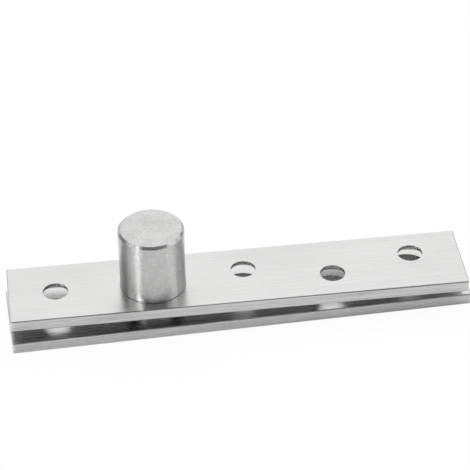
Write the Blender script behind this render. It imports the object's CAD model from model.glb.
# %% [markdown]
# # A pivot hinge in brushed steel
#
# This hinge carries a door that turns all the way round. Two flat leaves lie one
# above the other, with a narrow gap between them. The lower leaf is screwed to the
# floor, the upper one to the door's bottom edge. A turned cup rises from the upper
# leaf and hides the pin and the bush that it turns on, and a small ball bearing in
# the gap carries the weight.
#
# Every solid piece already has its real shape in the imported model, down to the
# rounded edges and the turned groove at the cup's root. So nothing is modelled again
# here. The work of this lesson is finish and light: polished balls, ground washers,
# bronze, and above all two kinds of worked stainless steel, which show almost
# nothing but what they mirror.

# %% Load the frame
import math

import bpy
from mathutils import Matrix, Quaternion, Vector


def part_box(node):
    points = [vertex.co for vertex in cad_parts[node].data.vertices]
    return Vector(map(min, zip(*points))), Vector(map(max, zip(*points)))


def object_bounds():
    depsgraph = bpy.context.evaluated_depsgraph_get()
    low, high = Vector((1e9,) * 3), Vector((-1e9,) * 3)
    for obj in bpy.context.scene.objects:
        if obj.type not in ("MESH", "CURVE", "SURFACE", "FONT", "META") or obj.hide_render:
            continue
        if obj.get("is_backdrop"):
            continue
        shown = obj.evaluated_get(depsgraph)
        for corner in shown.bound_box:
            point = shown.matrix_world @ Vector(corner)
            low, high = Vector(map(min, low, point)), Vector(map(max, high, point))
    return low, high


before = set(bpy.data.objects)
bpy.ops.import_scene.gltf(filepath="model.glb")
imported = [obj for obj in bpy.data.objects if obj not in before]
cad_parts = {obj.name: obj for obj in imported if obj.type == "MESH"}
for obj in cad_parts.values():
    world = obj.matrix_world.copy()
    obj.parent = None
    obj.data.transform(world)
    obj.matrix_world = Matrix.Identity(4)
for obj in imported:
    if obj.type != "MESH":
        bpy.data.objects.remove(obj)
cad_low, cad_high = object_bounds()
bpy.ops.object.select_all(action="DESELECT")
mm = 0.001
print("pieces in the frame:", len(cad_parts), "from", cad_low[:], "to", cad_high[:])

# %% [markdown]
# ## Writing a material as sums
#
# A material in Blender is a net of nodes joined by links. Drawn by hand it is easy
# to read, but written out call by call it becomes a wall of text. Two small helpers
# keep it short. Wire wraps one socket, and ordinary signs such as + and * between
# two wires add the Math node that does the sum. Recipe holds one net, and its
# method add makes any other node.

# %% Wire and Recipe
class Wire:
    """One value that runs through a net of nodes."""

    def __init__(self, recipe, socket):
        self.recipe, self.socket = recipe, socket

    def beside(self, output):
        """Another output of the node that this value comes from."""
        return Wire(self.recipe, self.socket.node.outputs[output])

    def sum_with(self, operation, first, second=0.0):
        return self.recipe.add("ShaderNodeMath", {"operation": operation}, {0: first, 1: second})

    def __add__(self, other):
        return self.sum_with("ADD", self, other)

    def __radd__(self, other):
        return self.sum_with("ADD", other, self)

    def __sub__(self, other):
        return self.sum_with("SUBTRACT", self, other)

    def __rsub__(self, other):
        return self.sum_with("SUBTRACT", other, self)

    def __mul__(self, other):
        return self.sum_with("MULTIPLY", self, other)

    def __rmul__(self, other):
        return self.sum_with("MULTIPLY", other, self)

    def __gt__(self, other):
        return self.sum_with("GREATER_THAN", self, other)

    def __abs__(self):
        return self.sum_with("ABSOLUTE", self)


class Recipe:
    """The net of nodes of one material, or of the world."""

    def __init__(self, tree):
        self.tree = tree
        tree.nodes.clear()

    def add(self, kind, settings=None, values=None, out=0):
        """Makes a node of that kind: its settings first, then its sockets' values or links."""
        node = self.tree.nodes.new(kind)
        for name, setting in (settings or {}).items():
            setattr(node, name, setting)
        for socket, value in (values or {}).items():
            if isinstance(value, Wire):
                self.tree.links.new(value.socket, node.inputs[socket])
            else:
                node.inputs[socket].default_value = value
        return Wire(self, node.outputs[out] if node.outputs else None)

    def show(self, surface):
        """Joins a finished shader to the material's output."""
        self.add("ShaderNodeOutputMaterial", {}, {"Surface": surface})


def new_finish(name):
    """An empty material and the recipe to fill it with."""
    material = bpy.data.materials.new(name)
    material.use_nodes = True
    return material, Recipe(material.node_tree)


print("helpers ready")

# %% [markdown]
# ## Words that the finishes share
#
# Every finish here is a solid pattern: it fills space, and the surface shows where
# it cuts through. So a scratch runs on over an edge, as on a real bar, and no piece
# has to be unwrapped. The patterns are measured in metres on Object coordinates.
# Each piece's object stays at the origin, so the pattern moves with the piece when
# the hinge turns. Noise alone is a soft grey cloud, so its middle range is spread
# out until the lightest and darkest spots are clear.

# %% Helpers for patterns
def even(size):
    """The same size along X, Y and Z."""
    return (size, size, size)


def along(recipe, axis, kind="Object"):
    """How far a point lies along that axis or, with kind Normal, how much its face looks that way."""
    place = recipe.add("ShaderNodeTexCoord", out=kind)
    return recipe.add("ShaderNodeSeparateXYZ", {}, {0: place}, out=axis)


def grain(recipe, size, turned=0.0, where=None, detail=2.0, low=0.3, high=0.7):
    """Cloudy noise whose clouds have that size in metres along X, Y and Z. turned swings it
    about Z, in degrees. Noise of low and less becomes 0, and noise of high and more becomes 1."""
    place = where or recipe.add("ShaderNodeTexCoord", out="Object")
    turn = (0.0, 0.0, math.radians(turned))
    scaled = recipe.add("ShaderNodeMapping", {"vector_type": "TEXTURE"},
                        {"Vector": place, "Rotation": turn, "Scale": size})
    noise = recipe.add("ShaderNodeTexNoise", {},
                       {"Vector": scaled, "Scale": 1.0, "Detail": detail, "Roughness": 0.6})
    return recipe.add("ShaderNodeMapRange", {"clamp": True},
                      {"Value": noise, "From Min": low, "From Max": high})


def tint(recipe, share, dark, light):
    """A colour between two: dark where share is 0, light where it is 1."""
    factor, first_colour, second_colour, mixed_colour = 0, 6, 7, 2
    return recipe.add("ShaderNodeMix", {"data_type": "RGBA"},
                      {factor: share, first_colour: (*dark, 1.0), second_colour: (*light, 1.0)},
                      out=mixed_colour)


def relief(recipe, height, depth):
    """Fine relief in the surface: a point where height is 1 stands depth metres above one where it is 0."""
    return recipe.add("ShaderNodeBump", {}, {"Height": height, "Distance": depth})


print("patterns ready")

# %% [markdown]
# ## Bare metal, and how a piece gets it
#
# All of these pieces are bare metal, so one shader serves them all, with its own
# colour, roughness and relief for each. Marks left by a turning tool stretch the
# shine across themselves. Blender calls that anisotropic, and without a tangent of
# its own it runs round the Z axis. A CAD piece keeps its mesh and gets its finish in
# its material slot.

# %% Metal shader and dress
def metal(recipe, colour, roughness, normal, stretch=0.0):
    """Bare metal. stretch is how much longer its shine is across the tool marks than along
    them, where those run round the Z axis."""
    quarter_turn = 0.25
    return recipe.add("ShaderNodeBsdfPrincipled", {}, {
        "Base Color": colour, "Roughness": roughness, "Normal": normal, "Metallic": 1.0,
        "Anisotropic": stretch, "Anisotropic Rotation": quarter_turn})


def dress(material, *names):
    """Gives CAD nodes a finish in place of their plain one."""
    for name in names:
        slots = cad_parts[name].data.materials
        slots.clear()
        slots.append(material)
    print(material.name, "on", ", ".join(names))


print("metal ready")

# %% [markdown]
# ## Brushed leaves
#
# The leaves are cut from flat stainless bar that was drawn under an abrasive belt.
# The belt leaves straight scratches along the bar: some so fine that they only
# spread the shine, some wide enough to see. One noise would give blotches, so three
# are used, all stretched along the leaf: hair lines a tenth of a millimetre wide,
# bands about half a millimetre wide, and faint clouds. The sides met a coarser belt
# than the flat faces, so there the scratches are deeper, and the direction that a
# face looks in tells the two apart. The upper leaf rests turned a little, so its
# pattern is turned by the same angle, measured from the leaf itself.

# %% Brushed steel for both leaves
def leaf_turn(name):
    """Angle in degrees between a leaf's length and X, from the middles of its two ends."""
    corners = [vertex.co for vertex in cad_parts[name].data.vertices]
    right, left = max(corner.x for corner in corners), min(corner.x for corner in corners)
    end_zone = 4 * mm

    def middle(end):
        across = [corner.y for corner in corners if abs(corner.x - end) < end_zone]
        return (max(across) + min(across)) / 2

    return math.degrees(math.atan2(middle(right) - middle(left), right - left))


def brushed_leaf(name, turned, side_depth=8.0):
    """Drawn bar. Its sides' scratches are side_depth times as deep as those in its flat faces."""
    material, recipe = new_finish(name)
    hair = grain(recipe, (50 * mm, 0.12 * mm, 0.12 * mm), turned)
    band = grain(recipe, (70 * mm, 0.6 * mm, 0.6 * mm), turned)
    cloud = grain(recipe, (30 * mm, 12 * mm, 12 * mm), turned)
    tone = hair * 0.35 + band * 0.35 + cloud * 0.3
    colour = tint(recipe, tone, dark=(0.54, 0.54, 0.536), light=(0.68, 0.68, 0.675))
    roughness = 0.20 + hair * 0.06 + band * 0.05
    flat_face = abs(along(recipe, "Z", "Normal"))
    coarse = 1.0 + (1.0 - flat_face) * (side_depth - 1.0)
    scratches = relief(recipe, (hair + band * 0.6) * coarse, 0.006 * mm)
    recipe.show(metal(recipe, colour, roughness, scratches))
    return material


for plate in ("floor_plate", "door_plate"):
    angle = leaf_turn(plate)
    print(plate, "lies at", round(angle, 2), "degrees")
    dress(brushed_leaf("brushed_" + plate, angle), plate)

# %% [markdown]
# ## The turned cup and pin
#
# The cup and the pin come off a lathe, so their tool marks run round the axis. The
# pattern is read from how high and how far from the axis a point is, and hardly
# from where it is round the turn. Their stretched shine gives a turned cylinder its
# upright bright and dark bands. Over the rings lie small specks, as on a blank that
# was only lightly skimmed. The cup's flat crown was sanded after turning, so it is
# duller, and there the shine isn't stretched.

# %% Turned steel
def round_the_axis(recipe, share_of_turn=0.02):
    """Coordinates for turned work: distance from the axis, a little of X, and height."""
    place = recipe.add("ShaderNodeTexCoord", out="Object")
    flat = recipe.add("ShaderNodeVectorMath", {"operation": "MULTIPLY"}, {0: place, 1: (1.0, 1.0, 0.0)})
    radius = recipe.add("ShaderNodeVectorMath", {"operation": "LENGTH"}, {0: flat}, out="Value")
    return recipe.add("ShaderNodeCombineXYZ", {}, {
        "X": radius, "Y": along(recipe, "X") * share_of_turn, "Z": along(recipe, "Z")})


def turned_metal(name, dark, light, roughness, ring=0.15 * mm, depth=0.004 * mm, stretch=0.9, crown=None):
    """ring and depth are the tool marks' width and depth. crown is a height in metres: above
    it the metal is sanded flat, a little duller and with no stretched shine."""
    material, recipe = new_finish(name)
    rings = grain(recipe, (ring, 1.0, ring), where=round_the_axis(recipe))
    specks = grain(recipe, even(0.7 * mm))
    cloud = grain(recipe, even(6 * mm))
    colour = tint(recipe, rings * 0.2 + specks * 0.5 + cloud * 0.3, dark, light)
    dull = roughness + rings * 0.04 + specks * 0.05
    marks = relief(recipe, rings * 0.6 + specks, depth)
    surface = metal(recipe, colour, dull, marks, stretch)
    if crown is not None:
        duller = 0.08
        sanded = metal(recipe, colour, dull + duller, marks)
        above = along(recipe, "Z") > crown
        surface = recipe.add("ShaderNodeMixShader", {}, {0: above, 1: surface, 2: sanded})
    recipe.show(surface)
    return material


cup_low, cup_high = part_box("pivot_cup")
sanding_reach = 0.1 * mm
print("the cup's crown is at", round(cup_high[2] / mm, 2), "mm")
dress(turned_metal("turned_steel", dark=(0.43, 0.43, 0.426), light=(0.75, 0.75, 0.745), roughness=0.28,
                   depth=0.016 * mm, crown=cup_high[2] - sanding_reach), "pivot_cup", "pivot_pin")

# %% [markdown]
# ## Inside the bearing
#
# Little of the bearing shows, but it is there when the door is lifted off its pin.
# The washers are ground, so they are smoother than the cup and carry finer rings,
# and like the pressed cage they are of a plainer, oiled steel that looks greyer than
# stainless. Both are round work, so they take the turned finish with other numbers.
# The balls are polished like mirrors, with a trace of haze. The bush is pressed from
# bronze powder: its pores hold oil, and show as dark specks.

# %% Ground, plain, polished and bronze finishes
def polished_ball():
    material, recipe = new_finish("polished_ball")
    haze = grain(recipe, even(0.6 * mm), low=0.35, high=0.65)
    colour = tint(recipe, haze, dark=(0.70, 0.71, 0.73), light=(0.78, 0.79, 0.81))
    recipe.show(metal(recipe, colour, 0.05 + haze * 0.04, relief(recipe, haze, 0.0005 * mm)))
    return material


def sintered_bronze():
    material, recipe = new_finish("sintered_bronze")
    powder = grain(recipe, even(0.35 * mm), detail=4.0, low=0.36, high=0.44)
    colour = tint(recipe, powder, dark=(0.22, 0.14, 0.07), light=(0.72, 0.50, 0.26))
    recipe.show(metal(recipe, colour, 0.55 - powder * 0.2, relief(recipe, powder, 0.02 * mm)))
    return material


dress(turned_metal("ground_washer", dark=(0.36, 0.365, 0.375), light=(0.44, 0.445, 0.455), roughness=0.18,
                   ring=0.06 * mm, depth=0.002 * mm, stretch=0.3),
      "thrust_washer_lower", "thrust_washer_upper")
dress(turned_metal("cage_steel", dark=(0.30, 0.30, 0.297), light=(0.36, 0.36, 0.357), roughness=0.30),
      "ball_cage")
dress(polished_ball(), *sorted(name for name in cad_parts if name.startswith("bearing_ball")))
dress(sintered_bronze(), "bearing_bush")

# %% [markdown]
# ## A white table
#
# The hinge lies on a plain white table. Lit by lamps alone it would look grey next
# to the bright steel, and more light would burn the steel out. So Light Path lifts
# it instead: nearly to white where the camera sees it, and a little where metal
# mirrors it. What is left of the plain lit table keeps the hinge's shadow. Under the
# lower leaf, all but its rim, the table isn't lifted, so it doesn't glow up through
# the screw holes.

# %% Table
metal_share = 0.1


def seen_white(recipe):
    """1 for camera rays, metal_share for rays off metal or through glass, 0 for the rest."""
    camera_ray = recipe.add("ShaderNodeLightPath", out="Is Camera Ray")
    other_rays = camera_ray.beside("Is Glossy Ray") + camera_ray.beside("Is Transmission Ray")
    return camera_ray + other_rays * metal_share


def within(recipe, axis, low, high):
    """1 for points from low to high along that axis, 0 for the rest."""
    return recipe.add("ShaderNodeMath", {"operation": "COMPARE"},
                      {0: along(recipe, axis), 1: (low + high) / 2, 2: (high - low) / 2})


leaf_low, leaf_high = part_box("floor_plate")
leaf_rim = 2 * mm
lift = 0.94
table_size = 6.0
table_finish, recipe = new_finish("white_table")
under_leaf = (within(recipe, "X", leaf_low[0] + leaf_rim, leaf_high[0] - leaf_rim)
              * within(recipe, "Y", leaf_low[1] + leaf_rim, leaf_high[1] - leaf_rim))
matt = recipe.add("ShaderNodeBsdfDiffuse", {}, {"Color": (0.82, 0.82, 0.82, 1.0)})
white = recipe.add("ShaderNodeEmission", {}, {"Color": (1.0, 1.0, 1.0, 1.0), "Strength": 1.0})
lifted = seen_white(recipe) * lift * (1.0 - under_leaf)
recipe.show(recipe.add("ShaderNodeMixShader", {}, {0: lifted, 1: matt, 2: white}))

bpy.ops.mesh.primitive_plane_add(size=table_size, location=(0.0, 0.0, cad_low[2]))
table = bpy.context.object
table.name = "table"
table.data.materials.append(table_finish)
table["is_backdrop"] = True
print("table at", round(cad_low[2], 4), "m")

# %% [markdown]
# ## A dim room
#
# Steel needs something dark to mirror, or it looks like white plastic. So the room
# round the table gives only a little light. The camera still sees it as white, by
# the same Light Path sum as the table's, and metal sees a little of that white too.

# %% World
room_level = 0.10
world = bpy.data.worlds.new("room")
bpy.context.scene.world = world
world.use_nodes = True
recipe = Recipe(world.node_tree)
level = room_level + seen_white(recipe) * (1.0 - room_level)
room = recipe.add("ShaderNodeBackground", {}, {"Color": (1.0, 1.0, 1.0, 1.0), "Strength": level})
recipe.add("ShaderNodeOutputWorld", {}, {"Surface": room})
print("room at", room_level, "and for metal at", round(room_level + metal_share * (1.0 - room_level), 2))

# %% [markdown]
# ## Camera
#
# The camera looks down on the hinge's front through a long lens, from two thirds of
# a metre away. That is near enough for the far edges to draw together a little. It
# is placed by where it stands, the point that it looks at, and a small roll.

# %% Camera
camera_place = Vector((-0.0505, -0.4970, 0.4136))
camera_aim = Vector((0.0274, 0.0248, 0.0050))
camera_roll = -0.807
camera_lens = 173.2
look = camera_aim - camera_place
upright = look.to_track_quat("-Z", "Y")
rolled = upright @ Quaternion((0.0, 0.0, 1.0), math.radians(camera_roll))
bpy.ops.object.camera_add(location=camera_place, rotation=rolled.to_euler())
camera = bpy.context.object
camera.name = "camera"
camera.data.lens = camera_lens
camera.data.sensor_width = 36.0
camera.data.dof.use_dof = False
bpy.context.scene.camera = camera
print("camera looks from", round(look.length, 3), "m away")

# %% [markdown]
# ## Lamps
#
# Steel mirrors its lamps, so each is placed by what it should draw, and they ring
# the hinge. A big box behind fills the flat tops and the crown, and a weaker one on
# each side of it carries that light on round the cup. At the front left a narrow,
# bright strip stands almost on the table: it draws the bright band down the cup. The
# box above it lights the cup's left shoulder and the leaf's left end. At the right a
# low box fills the front faces, and two taller ones draw the cup's right side.
# Between them the dim room shows as the darker bands. The last lamp hangs high at
# the back and lights only matt things, which is the table: metal doesn't mirror it.

# %% Soft lamps
front = math.atan2(-look.y, -look.x)
hinge_middle = Vector((0.02, 0.0, 0.01))


def soft_lamp(name, from_front, height, wide, tall, brightness, distance=0.9, mirrored=True):
    """A soft box. from_front is degrees round from the camera to its right, height is degrees
    above the table, and brightness 1 looks as bright as white paper."""
    turn, rise = front + math.radians(from_front), math.radians(height)
    way = Vector((math.cos(turn) * math.cos(rise), math.sin(turn) * math.cos(rise), math.sin(rise)))
    place = hinge_middle + way * distance
    bpy.ops.object.light_add(type="AREA", location=place, rotation=way.to_track_quat("Z", "Y").to_euler())
    lamp = bpy.context.object
    lamp.name = name
    lamp.data.shape = "RECTANGLE"
    lamp.data.size, lamp.data.size_y = wide, tall
    lamp.data.energy = brightness * math.pi * wide * tall
    lamp.visible_camera = False
    lamp.visible_glossy = mirrored
    print(name, "at", [round(x, 2) for x in place], "with", round(lamp.data.energy, 2), "W")


soft_lamp("back_box", from_front=180, height=37, wide=0.7, tall=1.1, brightness=1.09)
soft_lamp("back_left", from_front=-138, height=28, wide=0.3, tall=0.9, brightness=0.8)
soft_lamp("back_right", from_front=138, height=28, wide=0.3, tall=0.9, brightness=0.5)
soft_lamp("left_strip", from_front=-44, height=10, wide=0.15, tall=0.4, brightness=17)
soft_lamp("left_box", from_front=-78, height=42, wide=0.4, tall=0.45, brightness=1.4)
soft_lamp("right_fill", from_front=56, height=10, wide=0.3, tall=0.34, brightness=1.6)
soft_lamp("right_box", from_front=80, height=34, wide=0.26, tall=0.8, brightness=1.9)
soft_lamp("right_back", from_front=108, height=25, wide=0.25, tall=0.6, brightness=1.3)
soft_lamp("table_lamp", from_front=180, height=78, wide=1.2, tall=1.2, brightness=2.4, distance=1.0,
          mirrored=False)

# %% [markdown]
# ## Measuring and handing over
#
# Blender draws colours plainly, with the Standard view. The last step measures the
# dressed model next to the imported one, to show that nothing outgrew it, and hands
# the scene over.

# %% Measure and hand over
bpy.context.scene.view_settings.view_transform = "Standard"
seen_low, seen_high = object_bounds()
growth = [(seen_high[i] - seen_low[i] - cad_high[i] + cad_low[i]) / mm for i in range(3)]
print("grew by", [round(side, 3) for side in growth], "mm")
